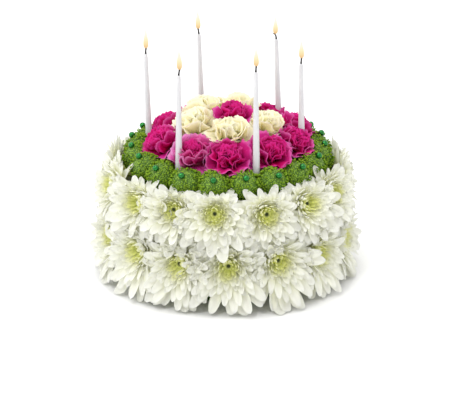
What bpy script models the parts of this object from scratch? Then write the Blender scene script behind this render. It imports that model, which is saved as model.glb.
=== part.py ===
# Floral cake: a cake made of fresh flowers, with six slim white candles.
# White chrysanthemums clothe the side in two rows. Green button poms, each with
# a green pearl pin, edge the top. Pink and cream carnations fill the dome.
# Metres, +Z up. The origin is the middle of the flat base, on the cake's axis.
# Angles run round the axis from the front (-Y), positive towards +X.

import math
import random

import bmesh
import bpy
from mathutils import Matrix, Vector

# The body that the flowers are set on: a drum with a low dome
GAP = 0.0003
BODY_RADIUS = 0.089
WALL_HEIGHT = 0.084
SHOULDER_RADIUS, SHOULDER_HEIGHT = 0.0868, 0.0925
POM_SEAT_RADIUS, POM_SEAT_HEIGHT = 0.0775, 0.100
PINK_SEAT_RADIUS, PINK_SEAT_HEIGHT = 0.0575, 0.118
CREAM_SEAT_RADIUS, CREAM_SEAT_HEIGHT = 0.030, 0.131
CROWN_HEIGHT = 0.137
CROWN_DRIFT = 0.006
BODY_PROFILE = (
    (0.0, CROWN_HEIGHT),
    (CREAM_SEAT_RADIUS, CREAM_SEAT_HEIGHT),
    (PINK_SEAT_RADIUS, PINK_SEAT_HEIGHT),
    (POM_SEAT_RADIUS, POM_SEAT_HEIGHT),
    (SHOULDER_RADIUS, SHOULDER_HEIGHT),
    (BODY_RADIUS, WALL_HEIGHT),
    (BODY_RADIUS, 0.0),
    (0.0, 0.0),
)
BODY_STEPS = 30
FLOOR_CLEARANCE = 0.0006

# Each row: how many flowers, the angle of the first, where they sit on the body,
# and how far their faces look up
LOWER_MUMS = dict(count=15, first=2.0, radius=BODY_RADIUS, height=0.046, look_up=0.0)
UPPER_MUMS = dict(count=15, first=-5.0, radius=0.0879, height=0.08825, look_up=14.5)
POMS = dict(count=20, first=-7.0, radius=0.0765, height=0.1009, look_up=49.0)
PINKS = dict(count=10, first=2.0, radius=PINK_SEAT_RADIUS, height=PINK_SEAT_HEIGHT, look_up=57.0)
CREAMS = dict(radius=CREAM_SEAT_RADIUS, height=CREAM_SEAT_HEIGHT, look_up=70.0)
POMS_IN_AN_ARC = 4

# Rings of a flower from the middle of its face to the middle of its back:
# share of the radius, share of the height, depth of the petal notches, wave in height
MUM_RINGS = (
    (0.00, 0.80, 0.00, 0.00),
    (0.15, 0.97, 0.00, 0.00),
    (0.45, 1.00, 0.16, -0.03),
    (0.74, 0.93, 0.18, 0.05),
    (1.00, 0.84, 0.27, -0.08),
    (0.28, 0.00, 0.00, 0.00),
    (0.00, 0.00, 0.00, 0.00),
)
CARNATION_RINGS = (
    (0.00, 0.84, 0.00, 0.00),
    (0.24, 0.98, 0.20, 0.05),
    (0.56, 1.00, 0.16, -0.08),
    (0.86, 0.80, 0.16, 0.09),
    (1.00, 0.50, 0.20, -0.09),
    (0.34, 0.00, 0.00, 0.00),
    (0.00, 0.00, 0.00, 0.00),
)
# droop: how much longer the petals that hang are; splay: how far they stand off at 30 mm
# from the eye; trim: how much shorter the petals that stand up are
MUM = dict(radius=0.036, height=0.032, petals=12, rings=MUM_RINGS)
LOWER_MUM = dict(MUM, droop=0.28, splay=0.007, trim=0.0)
UPPER_MUM = dict(MUM, droop=0.0, splay=0.0, trim=0.30)
STRAIGHT = dict(droop=0.0, splay=0.0, trim=0.0)
PINK = dict(radius=0.0255, height=0.030, petals=9, rings=CARNATION_RINGS, **STRAIGHT)
CREAM = dict(radius=0.0235, height=0.0265, petals=9, rings=CARNATION_RINGS, **STRAIGHT)
CENTRE_PINK = dict(radius=0.0225, height=0.0265, petals=9, rings=CARNATION_RINGS, **STRAIGHT)
CREAM_ANGLES = (2.0, 72.0, 163.0, 225.0, 288.0)
CREAM_SIZES = (1.0, 1.0, 1.1, 1.05, 1.05)
SPLAY_AT = 0.030
MID_HEIGHT = 0.6
SIZE_SPREAD, NOTCH_SPREAD, LEAN_SPREAD = 0.05, 0.07, 0.002
NOTCH_WHERE_PACKED = 0.35

POM_RADIUS = 0.0145
POM_SINK = 0.0045
POM_BUMP = 0.06
POM_STATION, POM_WAIST, POM_SIDES = 0.0092, 0.0065, 10
PEARL_RADIUS = 0.003
PEARL_RISE = 0.0006
PEARL_LOOK_UP = 50.0
PEARL_WANDER = 7.0

# Candles between poms and carnations: angle, distance from the axis, height of the
# wax, and degrees of lean towards +X
CANDLES = (
    (21.3, 0.0770, 0.2156, -0.9),
    (81.1, 0.0727, 0.2062, -1.5),
    (136.7, 0.0770, 0.2115, -2.6),
    (197.5, 0.0770, 0.2116, -2.0),
    (257.8, 0.0750, 0.2074, -1.5),
    (326.0, 0.0770, 0.2097, 0.2),
)
CANDLE_FOOT_HEIGHT = 0.103
CANDLE_FOOT_RADIUS, CANDLE_TIP_RADIUS = 0.0035, 0.0019
CANDLE_SHOULDER = 0.0016
FOOT_GAP = 0.0004
WICK_RADIUS, WICK_LENGTH = 0.0006, 0.0068
CANDLE_SIDES = 10
CUTTER_SIDES, CUTTER_RADIUS = 8, 0.0042
CUTTER_DRIFT = 0.003
LEAN_AWAY_REACH, LEAN_AWAY = 18.0, 6.0


def clear_scene():
    for old in list(bpy.data.objects):
        bpy.data.objects.remove(old)


def new_collection(name):
    group = bpy.data.collections.new(name)
    bpy.context.scene.collection.children.link(group)
    return group


def new_material(name, colour, roughness, metallic=0.0):
    made = bpy.data.materials.new(name)
    made.use_nodes = True
    shader = made.node_tree.nodes["Principled BSDF"]
    shader.inputs["Base Color"].default_value = (*colour, 1.0)
    shader.inputs["Roughness"].default_value = roughness
    shader.inputs["Metallic"].default_value = metallic
    made.diffuse_color = (*colour, 1.0)
    return made


def new_object(name, mesh, group, material, matrix=None):
    made = bpy.data.objects.new(name, mesh)
    group.objects.link(made)
    mesh.materials.append(material)
    made.matrix_world = matrix or Matrix.Identity(4)
    return made


def outward(angle):
    """The level direction that looks out from the axis at this angle."""
    turn = math.radians(angle)
    return Vector((math.sin(turn), -math.cos(turn), 0.0))


def seat_frame(angle, row):
    """A frame on the body: Z leaves along the flower's axis, Y climbs the body."""
    rise = math.radians(row["look_up"])
    out = outward(angle)
    axis = out * math.cos(rise) + Vector((0, 0, math.sin(rise)))
    climb = Vector((0, 0, math.cos(rise))) - out * math.sin(rise)
    side = climb.cross(axis)
    point = out * row["radius"] + Vector((0, 0, row["height"])) + axis * GAP
    frame = Matrix((side, climb, axis)).transposed().to_4x4()
    frame.translation = point
    return frame


def row_angles(row):
    return [row["first"] + 360.0 * i / row["count"] for i in range(row["count"])]


def away_from_candles(angle):
    """A carnation close to a candle leans a few degrees away from it."""
    for candle_angle, _, _, _ in CANDLES:
        offset = (angle - candle_angle + 180.0) % 360.0 - 180.0
        if abs(offset) < LEAN_AWAY_REACH:
            return angle + math.copysign(LEAN_AWAY * (1 - abs(offset) / LEAN_AWAY_REACH), offset)
    return angle


def candle_point(candle, height):
    """The middle of a candle at this height."""
    angle, radius, _, lean = candle
    drift = math.tan(math.radians(lean)) * (height - CANDLE_FOOT_HEIGHT)
    return outward(angle) * radius + Vector((drift, 0, height))


def body_top(radius):
    """The height of the body's skin at this distance from the axis."""
    for (inner, high), (outer, low) in zip(BODY_PROFILE, BODY_PROFILE[1:]):
        if inner <= radius < outer:
            return high + (low - high) * (radius - inner) / (outer - inner)
    return WALL_HEIGHT


def sphere_mesh(name, columns, rings, place):
    """A sphere whose points are moved to place(ring, column), ring 0 at its top."""
    shape = bmesh.new()
    bmesh.ops.create_uvsphere(shape, u_segments=columns, v_segments=rings, radius=1.0)
    for vert in shape.verts:
        ring = round(math.acos(max(-1.0, min(1.0, vert.co.z))) * rings / math.pi)
        column = round(math.atan2(vert.co.y, vert.co.x) * columns / (2 * math.pi)) % columns
        vert.co = place(ring, column)
    bmesh.ops.triangulate(shape, faces=shape.faces)
    mesh = bpy.data.meshes.new(name)
    shape.to_mesh(mesh)
    shape.free()
    return mesh


def limit_along(ray, start, planes):
    """How far a ray from start goes before it meets one of the planes (normal, offset)."""
    reach = math.inf
    for normal, offset in planes:
        speed = normal.dot(ray)
        if speed > 1e-6:
            reach = min(reach, (offset - normal.dot(start)) / speed)
    return reach


def planes_between(spot, others):
    """The planes that part this flower from those round it, each a share of the way over."""
    planes = [(Vector((0, 0, -1)), -FLOOR_CLEARANCE)]
    for other in others:
        apart = other["middle"] - spot["middle"]
        if other["solid"] == spot["solid"] or apart.length > spot["reach"] + other["reach"]:
            continue
        share = spot["reach"] / (spot["reach"] + other["reach"])
        normal = apart.normalized()
        offset = normal.dot(spot["middle"]) + apart.length * share - GAP / 2
        planes.append((normal, offset))
    return planes


def flower_spot(name, frame, kind, seed):
    middle = frame @ Vector((0, 0, kind["height"] * MID_HEIGHT))
    return dict(solid=name, frame=frame, kind=kind, seed=seed, middle=middle, reach=kind["radius"])


def pom_spot(solid, frame, seed, angle):
    middle = frame @ Vector((0, 0, POM_RADIUS - POM_SINK))
    return dict(solid=solid, frame=frame, seed=seed, angle=angle, middle=middle, reach=POM_RADIUS)


def build_flower(spot, others, group, material):
    """A flower head of notched rings, pressed in where its neighbours crowd it."""
    kind, frame = spot["kind"], spot["frame"]
    draw = random.Random(spot["seed"])
    planes = planes_between(spot, others)
    columns = 2 * kind["petals"]
    rings = kind["rings"]
    last = len(rings) - 1
    radius = kind["radius"] * (1 + draw.uniform(-SIZE_SPREAD, SIZE_SPREAD))
    spin = draw.uniform(0, 2 * math.pi)
    lean = Vector((draw.uniform(-1, 1), draw.uniform(-1, 1), 0)) * LEAN_SPREAD
    spread = [
        [1 + draw.uniform(-NOTCH_SPREAD, NOTCH_SPREAD) for _ in range(columns)] for _ in rings
    ]
    turn_back = frame.to_3x3()
    to_local = frame.inverted()

    def place(ring, column):
        share, height, notch, wave = rings[ring]
        theta = spin + 2 * math.pi * column / columns
        ray = Vector((math.cos(theta), math.sin(theta), 0))
        in_notch = (column + ring) % 2
        ragged = spread[ring][column] if notch else 1
        lobe = (1 - notch * in_notch) * ragged
        packed = (1 - NOTCH_WHERE_PACKED * notch * in_notch) * min(1, ragged)
        hangs, stands = max(0.0, -ray.y) ** 2, max(0.0, ray.y) ** 2
        stretch = 1 + kind["droop"] * hangs - kind["trim"] * stands if notch else 1
        level = kind["height"] * (height + wave * (1 - 2 * in_notch))
        start = frame @ (Vector((0, 0, level)) + lean * height)
        room = limit_along(turn_back @ ray, start, planes) * packed * (0.55 + 0.45 * share)
        reach = min(radius * share * lobe * stretch, room) if 0 < ring < last else 0
        splay = kind["splay"] * hangs * (reach / SPLAY_AT) ** 1.5
        return to_local @ (start + turn_back @ (ray * reach + Vector((0, 0, splay))))

    mesh = sphere_mesh(spot["solid"], columns, last, place)
    return new_object(spot["solid"], mesh, group, material, frame)


def build_pom_chain(solid, spots, others, group, material):
    """Poms grown into each other in a row, flat where they sit on the body."""
    draw = random.Random(spots[0]["seed"])
    circle = spots[0]["middle"].xy.length
    half_way = math.pi * circle / POMS["count"]
    stations = [(spots[0], GAP / 2 - half_way, 0.0)]
    for spot in spots:
        for offset in (-POM_STATION, 0.0, POM_STATION):
            stations.append((spot, offset, math.sqrt(POM_RADIUS**2 - offset**2)))
        stations.append((spot, half_way, POM_WAIST))
    stations[-1] = (spots[-1], half_way - GAP / 2, 0.0)

    def place(ring, column):
        spot, offset, width = stations[ring]
        out = outward(spot["angle"] + math.degrees(offset / circle))
        centre = out * circle + Vector((0, 0, spot["middle"].z))
        theta = 2 * math.pi * column / POM_SIDES
        ray = out * math.cos(theta) + Vector((0, 0, math.sin(theta)))
        rise = math.radians(POMS["look_up"])
        down = -out * math.cos(rise) - Vector((0, 0, math.sin(rise)))
        seat = (down, down.dot(centre) + POM_RADIUS - POM_SINK)
        bumpy = width * (1 + draw.uniform(-POM_BUMP, POM_BUMP))
        return centre + ray * min(bumpy, limit_along(ray, centre, [*planes_between(spot, others), seat]))

    mesh = sphere_mesh(solid, POM_SIDES, len(stations) - 1, place)
    return new_object(solid, mesh, group, material)


def build_pearl(spot, group, material):
    """The round head of the pin that is pushed into a pom."""
    draw = random.Random(spot["seed"] + 1)
    rise = math.radians(PEARL_LOOK_UP + draw.uniform(-PEARL_WANDER, PEARL_WANDER))
    out = outward(spot["angle"] + draw.uniform(-PEARL_WANDER, PEARL_WANDER))
    away = out * math.cos(rise) + Vector((0, 0, math.sin(rise)))
    shape = bmesh.new()
    bmesh.ops.create_icosphere(shape, subdivisions=1, radius=PEARL_RADIUS)
    mesh = bpy.data.meshes.new("pearl")
    shape.to_mesh(mesh)
    shape.free()
    place = Matrix.Translation(spot["middle"] + away * (POM_RADIUS + PEARL_RISE))
    return new_object(mesh.name, mesh, group, material, place)


def join_all(pieces, name):
    """One solid from pieces that overlap."""
    first, rest = pieces[0], pieces[1:]
    tools = new_collection(name + "_pieces")
    for piece in rest:
        for group in list(piece.users_collection):
            group.objects.unlink(piece)
        tools.objects.link(piece)
    union = first.modifiers.new("join", "BOOLEAN")
    union.operation = "UNION"
    union.operand_type = "COLLECTION"
    union.collection = tools
    union.solver = "EXACT"
    apply_modifiers(first)
    for piece in rest:
        bpy.data.objects.remove(piece)
    bpy.data.collections.remove(tools)
    first.name = name
    return first


def apply_modifiers(obj):
    bpy.context.view_layer.update()
    graph = bpy.context.evaluated_depsgraph_get()
    mesh = bpy.data.meshes.new_from_object(obj.evaluated_get(graph))
    obj.modifiers.clear()
    obj.data = mesh


def keep_largest_piece(obj):
    """Drops the scraps that a cut left loose."""
    shape = bmesh.new()
    shape.from_mesh(obj.data)
    left, pieces = set(shape.verts), []
    while left:
        piece, edge = set(), [left.pop()]
        while edge:
            vert = edge.pop()
            piece.add(vert)
            near = {e.other_vert(vert) for e in vert.link_edges} & left
            left -= near
            edge.extend(near)
        pieces.append(piece)
    largest = max(pieces, key=len)
    scraps = [v for v in shape.verts if v not in largest]
    bmesh.ops.delete(shape, geom=scraps, context="VERTS")
    shape.to_mesh(obj.data)
    shape.free()


def candle_cutters(group):
    """Rods along the candles, a little thicker than they are, that clear their way."""
    cutters = []
    for number, candle in enumerate(CANDLES, 1):
        _, _, wax_top, lean = candle
        shape = bmesh.new()
        bmesh.ops.create_cone(
            shape,
            cap_ends=True,
            segments=CUTTER_SIDES,
            radius1=CUTTER_RADIUS,
            radius2=CUTTER_RADIUS,
            depth=wax_top,
        )
        mesh = bpy.data.meshes.new(f"candle_way_{number}")
        shape.to_mesh(mesh)
        shape.free()
        cutter = bpy.data.objects.new(mesh.name, mesh)
        group.objects.link(cutter)
        cutter.location = candle_point(candle, wax_top / 2)
        cutter.rotation_euler = (0.0, math.radians(lean), 0.0)
        cutter.hide_render = True
        cutter.display_type = "WIRE"
        cutters.append(cutter)
    return cutters


def clear_candle_ways(obj, cutters):
    """Cuts the candles' way through a flower that grows across it."""
    bpy.context.view_layer.update()
    corners = [obj.matrix_world @ v.co for v in obj.data.vertices]
    reach = CUTTER_RADIUS + CUTTER_DRIFT
    touched = False
    for cutter in cutters:
        centre = cutter.location
        spans = [
            min(c[k] for c in corners) - reach < centre[k] < max(c[k] for c in corners) + reach
            for k in (0, 1)
        ]
        if all(spans):
            cut = obj.modifiers.new("candle way", "BOOLEAN")
            cut.operation = "DIFFERENCE"
            cut.object = cutter
            cut.solver = "EXACT"
            touched = True
    if touched:
        apply_modifiers(obj)
        keep_largest_piece(obj)


def build_body(group, material):
    """The turned drum and dome under the flowers."""
    mesh = bpy.data.meshes.new("flower_body")
    edges = [(i, i + 1) for i in range(len(BODY_PROFILE) - 1)]
    mesh.from_pydata([(r, 0.0, z) for r, z in BODY_PROFILE], edges, [])
    body = new_object("flower_body", mesh, group, material)
    screw = body.modifiers.new("turn", "SCREW")
    screw.axis = "Z"
    screw.steps = screw.render_steps = BODY_STEPS
    screw.use_merge_vertices = True
    screw.merge_threshold = 0.0001
    screw.use_smooth_shade = False
    return body


def build_candle(number, candle, group, material):
    """A taper with its wick, its foot cut to the slope of the body under it."""
    angle, distance, wax_top, _ = candle
    rings = (
        (0.0, wax_top + WICK_LENGTH),
        (WICK_RADIUS, wax_top + WICK_LENGTH),
        (WICK_RADIUS, wax_top),
        (CANDLE_TIP_RADIUS, wax_top - CANDLE_SHOULDER),
        (CANDLE_FOOT_RADIUS, None),
        (0.0, None),
    )

    def place(ring, column):
        radius, height = rings[ring]
        turn = 2 * math.pi * column / CANDLE_SIDES
        ray = Vector((math.cos(turn), math.sin(turn), 0)) * radius
        if height is None:
            level = outward(angle) * distance + ray
            return Vector((level.x, level.y, body_top(level.length) + FOOT_GAP))
        return candle_point(candle, height) + ray

    mesh = sphere_mesh(f"candle_{number}", CANDLE_SIDES, len(rings) - 1, place)
    return new_object(mesh.name, mesh, group, material)


def flower_spots():
    """Every flower's name, frame and kind, before any is shaped."""
    spots = {"lower": [], "upper": [], "poms": [], "pinks": [], "creams": []}
    for i, angle in enumerate(row_angles(LOWER_MUMS), 1):
        frame = seat_frame(angle, LOWER_MUMS)
        spots["lower"].append(flower_spot(f"mum_lower_{i:02d}", frame, LOWER_MUM, 100 + i))
    for i, angle in enumerate(row_angles(UPPER_MUMS), 1):
        frame = seat_frame(angle, UPPER_MUMS)
        spots["upper"].append(flower_spot(f"mum_upper_{i:02d}", frame, UPPER_MUM, 200 + i))
    for i, angle in enumerate(row_angles(POMS)):
        solid = f"pom_arc_{i // POMS_IN_AN_ARC + 1}"
        spots["poms"].append(pom_spot(solid, seat_frame(angle, POMS), 300 + i, angle))
    for i, angle in enumerate(row_angles(PINKS), 1):
        frame = seat_frame(away_from_candles(angle), PINKS)
        spots["pinks"].append(flower_spot(f"carnation_pink_{i:02d}", frame, PINK, 400 + i))
    for i, (angle, size) in enumerate(zip(CREAM_ANGLES, CREAM_SIZES), 1):
        frame = seat_frame(angle, CREAMS)
        kind = dict(CREAM, radius=CREAM["radius"] * size, height=CREAM["height"] * size)
        spots["creams"].append(flower_spot(f"carnation_cream_{i}", frame, kind, 500 + i))
    crown = dict(radius=0.0, height=CROWN_HEIGHT, look_up=90.0)
    frame = Matrix.Translation((CROWN_DRIFT, 0, 0)) @ seat_frame(0.0, crown)
    centre = flower_spot("carnation_pink_centre", frame, CENTRE_PINK, 600)
    spots["pinks"].append(centre)
    return spots


def build_pom_arcs(spots, others, group, cutters, green, pearl):
    """The ring of poms, a few in each solid, each pom with its pearl."""
    for solid in sorted({spot["solid"] for spot in spots}):
        poms = [spot for spot in spots if spot["solid"] == solid]
        chain = build_pom_chain(solid, poms, others, group, green)
        pearls = [build_pearl(spot, group, pearl) for spot in poms]
        clear_candle_ways(join_all([chain, *pearls], solid), cutters)


def main():
    clear_scene()
    cake = new_collection("floral_cake")
    cutting = new_collection("cutters")
    foam = new_material("foam", (0.05, 0.11, 0.03), 0.9)
    white = new_material("white petal", (0.86, 0.87, 0.80), 0.6)
    green = new_material("green pom", (0.22, 0.38, 0.04), 0.7)
    pearl = new_material("green pearl", (0.02, 0.25, 0.08), 0.25, 0.4)
    pink = new_material("pink petal", (0.62, 0.01, 0.22), 0.6)
    cream = new_material("cream petal", (0.86, 0.78, 0.45), 0.6)
    wax = new_material("white wax", (0.85, 0.85, 0.85), 0.4)

    build_body(cake, foam)
    for number, candle in enumerate(CANDLES, 1):
        build_candle(number, candle, cake, wax)

    cutters = candle_cutters(cutting)
    spots = flower_spots()
    everyone = [spot for row in spots.values() for spot in row]
    colours = {"lower": white, "upper": white, "pinks": pink, "creams": cream}
    for row, material in colours.items():
        for spot in spots[row]:
            clear_candle_ways(build_flower(spot, everyone, cake, material), cutters)
    build_pom_arcs(spots["poms"], everyone, cake, cutters, green, pearl)


main()
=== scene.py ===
import math
import random

import bmesh
import bpy
import numpy as np
from mathutils import Matrix, Vector


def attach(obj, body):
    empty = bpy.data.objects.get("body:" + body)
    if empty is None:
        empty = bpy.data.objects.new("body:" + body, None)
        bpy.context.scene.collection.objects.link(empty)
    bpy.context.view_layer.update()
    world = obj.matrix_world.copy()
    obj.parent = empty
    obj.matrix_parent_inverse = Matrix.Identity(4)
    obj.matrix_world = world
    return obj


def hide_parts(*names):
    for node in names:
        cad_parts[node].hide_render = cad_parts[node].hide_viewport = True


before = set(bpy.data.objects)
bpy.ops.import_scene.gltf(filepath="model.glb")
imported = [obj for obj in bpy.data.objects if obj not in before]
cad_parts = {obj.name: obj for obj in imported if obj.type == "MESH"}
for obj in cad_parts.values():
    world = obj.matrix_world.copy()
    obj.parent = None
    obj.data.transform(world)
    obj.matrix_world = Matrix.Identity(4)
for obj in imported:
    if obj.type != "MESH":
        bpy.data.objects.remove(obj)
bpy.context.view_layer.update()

# A cake made of flowers. Angles run round the axis from the front (-Y), positive towards +X.


def linear(hexColour, alpha=1.0):
    # sRGB hex to the linear colour that shaders take
    parts = [int(hexColour[i : i + 2], 16) / 255 for i in (1, 3, 5)]
    return [c / 12.92 if c <= 0.04045 else ((c + 0.055) / 1.055) ** 2.4 for c in parts] + [alpha]


def fillInputs(tree, node, links):
    # an input takes another node, which gives its first output, or a socket, or a plain value
    for key, source in links.items():
        if isinstance(source, bpy.types.Node):
            source = source.outputs[0]
        if isinstance(source, bpy.types.NodeSocket):
            tree.links.new(source, node.inputs[key])
        else:
            node.inputs[key].default_value = source


def addNode(tree, kind, links=None, **settings):
    # one node with its inputs and its settings
    node = tree.nodes.new(kind)
    for key, value in settings.items():
        setattr(node, key, value)
    fillInputs(tree, node, links or {})
    return node


def addObject(name, data):
    made = bpy.data.objects.new(name, data)
    bpy.context.scene.collection.objects.link(made)
    return made


def newMaterial(name):
    made = bpy.data.materials.new(name)
    made.use_nodes = True
    return made, made.node_tree, made.node_tree.nodes["Principled BSDF"]


def fillRamp(ramp, stops):
    # the first two stops take the places of the ramp's own
    for i, (position, colour) in enumerate(stops):
        element = ramp.color_ramp.elements[i] if i < 2 else ramp.color_ramp.elements.new(position)
        element.position = position
        element.color = linear(colour)


def outward(angle):
    turn = math.radians(angle)
    return Vector((math.sin(turn), -math.cos(turn), 0.0))


def seatFrame(angle, row):
    # where a flower sits on the body: Z leaves along its axis, Y climbs the body
    rise = math.radians(row["lookUp"])
    out = outward(angle)
    axis = out * math.cos(rise) + Vector((0, 0, math.sin(rise)))
    climb = Vector((0, 0, math.cos(rise))) - out * math.sin(rise)
    place = Matrix((climb.cross(axis), climb, axis)).transposed().to_4x4()
    place.translation = out * row["radius"] + Vector((0, 0, row["height"]))
    return place


def facingFront(place, angle):
    # the flowers at the sides were set so that they look a little towards the front
    side = math.sin(math.radians(angle)) * max(0.0, 0.4 + 0.6 * math.cos(math.radians(angle)))
    return place @ Matrix.Rotation(-math.radians(layout["frontTurn"]) * side, 4, "Y")


def rowAngles(row):
    return [row["first"] + 360.0 * i / row["count"] for i in range(row["count"])]


def meshOf(shape, name):
    bmesh.ops.recalc_face_normals(shape, faces=shape.faces)
    mesh = bpy.data.meshes.new(name)
    shape.to_mesh(mesh)
    shape.free()
    return mesh


def meshFromGrid(name, rings, sharp=()):
    # closed skin over rings of points, with a point at each end; sharp lists the columns with a crisp rim
    shape = bmesh.new()
    uvLayer = shape.loops.layers.uv.new("petalMap")
    columns = len(rings[1][0])
    verts = [[shape.verts.new(p) for p in points] for points, _ in rings]
    count = len(rings)
    for row in range(count - 1):
        low, high = verts[row], verts[row + 1]
        for c in range(columns):
            d = (c + 1) % columns
            corners = [low[c % len(low)], low[d % len(low)], high[d % len(high)], high[c % len(high)]]
            uvs = [(c, row), (c + 1, row), (c + 1, row + 1), (c, row + 1)]
            kept = [i for i in range(4) if corners[i] not in corners[:i]]
            face = shape.faces.new([corners[i] for i in kept])
            face.smooth = True
            for loop, i in zip(face.loops, kept):
                across, along = uvs[i]
                loop[uvLayer].uv = (rings[row + (along > row)][1][across % columns], along / (count - 1))
    shape.edges.ensure_lookup_table()
    rims = [{verts[r][c % len(verts[r])] for r in range(count)} for c in sharp]
    for edge in shape.edges:
        if any(edge.verts[0] in rim and edge.verts[1] in rim for rim in rims):
            edge.smooth = False
    return meshOf(shape, name)


def circle(radius, sides):
    # points round the origin, a single one without a radius
    turns = [2 * math.pi * s / sides for s in range(1 if radius == 0 else sides)]
    return [(radius * math.cos(a), radius * math.sin(a)) for a in turns]


def ballProfile(radius, rows, kept):
    # the first rows of a ball that has that many in all, from its top down
    turns = [math.pi * i / rows for i in range(1, kept + 1)]
    return [(0, radius)] + [(radius * math.sin(a), radius * math.cos(a)) for a in turns]


def turnedMesh(name, profile, sides, tones=None):
    # a shape turned round Z; profile runs from its top to its bottom, closed at both ends
    # tones: a value for each row, which the materials read as the attribute heart
    shape = bmesh.new()
    tone = shape.verts.layers.float.new("heart")
    rows = []
    for i, (radius, height) in enumerate(profile):
        row = [shape.verts.new((x, y, height)) for x, y in circle(radius, sides)]
        for v in row:
            v[tone] = tones[i] if tones else 0.0
        rows.append(row)
    for top, low in zip(rows, rows[1:]):
        for s in range(sides):
            t = (s + 1) % sides
            corners = [top[s % len(top)], low[s % len(low)], low[t % len(low)], top[t % len(top)]]
            kept = [c for i, c in enumerate(corners) if c not in corners[:i]]
            shape.faces.new(kept).smooth = True
    return meshOf(shape, name)


def showPiece(name, mesh, materials, nodes):
    piece = addObject(name, mesh)
    for made in materials:
        if made.name not in [m.name for m in mesh.materials if m]:
            mesh.materials.append(made)
    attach(piece, "root")
    if nodes:
        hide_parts(*nodes)


# a long lens, 1.6 m from the cake and 22.9 degrees above the table
view = {
    "distance": 1.6,
    "elevation": 22.9,
    "aim": (-0.0012, 0.0, 0.0667),
    "lens": 131.25,
    "roll": 0.26,
}
camera = addObject("camera", bpy.data.cameras.new("camera"))
camera.data.lens = view["lens"]
camera.data.sensor_width = 36.0
camera.data.clip_end = 50.0
tilt = math.radians(view["elevation"])
camera.location = Vector((0, -math.cos(tilt), math.sin(tilt))) * view["distance"]
ahead = (Vector(view["aim"]) - camera.location).normalized()
right = ahead.cross(Vector((0, 0, 1))).normalized()
above = right.cross(ahead)
roll = math.radians(view["roll"])
rolledRight = right * math.cos(roll) + above * math.sin(roll)
rolledUp = above * math.cos(roll) - right * math.sin(roll)
camera.rotation_euler = Matrix((rolledRight, rolledUp, -ahead)).transposed().to_euler()
bpy.context.scene.camera = camera


# what grows where: the rows of the solids, with some flowers moved a few mm to lie as in the photo
layout = {
    "lowerMums": {"count": 15, "first": 2.0, "radius": 0.089, "height": 0.046, "lookUp": 0.0},
    "upperMums": {"count": 15, "first": -5.0, "radius": 0.0875, "height": 0.0882, "lookUp": 13.0},
    # a few upper mums stand some degrees off their even place
    "upperNudges": {2: 1.0, 4: -3.0, 11: 1.5, 12: 3.0, 13: 4.5, 14: 5.5, 15: 2.0},
    # the poms at the sides and the back sit a little higher and to the right
    "poms": {
        "count": 20, "first": -7.0, "radius": 0.0765, "height": 0.1009, "lookUp": 49.0,
        "ballHeight": 0.0122, "shift": 0.002, "lift": 0.004,
    },
    # the ring of pinks leans to the right at the sides and the back, by up to its shift
    "pinks": {"count": 10, "first": 2.0, "radius": 0.0565, "height": 0.1192, "lookUp": 57.0, "shift": 0.008},
    # this pink's outer petals are painted lighter: painted light, as from the key lamp on the left
    "paintedLitPink": 10,
    "creams": {"radius": 0.030, "height": 0.131, "lookUp": 70.0},
    "creamAngles": (2.0, 72.0, 163.0, 225.0, 288.0),
    "creamShifts": (0.002, 0.006, 0.001, 0.002, 0.004),
    "creamLifts": (0.001, 0.001, 0.004, 0.002, 0.001),
    "creamSizes": (0.96, 0.92, 1.04, 1.08, 1.06),
    "crown": {"radius": 0.003, "height": 0.1385, "lookUp": 90.0, "nod": 12.0, "shift": 0.0065},
    "pomsInAnArc": 4,
    "frontTurn": 14.0,
    "floor": 0.0006,
}
# each kind of head: its height above its seat, its reach from its axis, the seed it counts from,
# and its rank, which settles which of two heads that meet lies on top
room = {
    "lowerMum": {"tall": 0.032, "reach": 0.036, "seed": 100, "rank": 1},
    "upperMum": {"tall": 0.032, "reach": 0.036, "seed": 200, "rank": 2},
    "pom": {"tall": 0.0, "reach": 0.0165, "seed": 300, "rank": 0},
    "pink": {"tall": 0.030, "reach": 0.0255, "seed": 400, "rank": 3},
    "crown": {"tall": 0.0265, "reach": 0.0225, "seed": 450, "rank": 4.5},
    "cream": {"tall": 0.0265, "reach": 0.0235, "seed": 500, "rank": 4},
}
widestAt = 0.6  # a head is widest at this share of its height
candles = [
    # round the ring from the front right one; lean in degrees towards +X
    # parted: how far the petals leave it open towards the rim
    # hooked: its wick is bent right over; wickTurn: degrees added to the way its wick leans
    {"angle": 21.3, "radius": 0.077, "waxTop": 0.2156, "lean": -0.9, "parted": 0.016},
    {"angle": 81.1, "radius": 0.0727, "waxTop": 0.2062, "lean": -1.5, "parted": 0.0},
    {"angle": 136.7, "radius": 0.077, "waxTop": 0.2115, "lean": -2.6, "parted": 0.0, "hooked": True},
    {"angle": 197.5, "radius": 0.077, "waxTop": 0.2116, "lean": -2.0, "parted": 0.0, "wickTurn": 180.0},
    {"angle": 257.8, "radius": 0.075, "waxTop": 0.2074, "lean": -1.5, "parted": 0.012},
    {"angle": 326.0, "radius": 0.077, "waxTop": 0.2097, "lean": 0.2, "parted": 0.018},
]
candleFoot = 0.103
leanReach, leanAway = 18.0, 6.0  # degrees: how near a candle a pink turns away, and by how much


def candlePoint(candle, height):
    # the middle of a candle at a height above the floor
    foot = outward(candle["angle"]) * candle["radius"]
    return foot + Vector((math.tan(math.radians(candle["lean"])) * (height - candleFoot), 0, height))


def awayFromCandles(angle):
    for candle in candles:
        offset = (angle - candle["angle"] + 180.0) % 360.0 - 180.0
        if abs(offset) < leanReach:
            return angle + math.copysign(leanAway * (1 - abs(offset) / leanReach), offset)
    return angle


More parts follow.
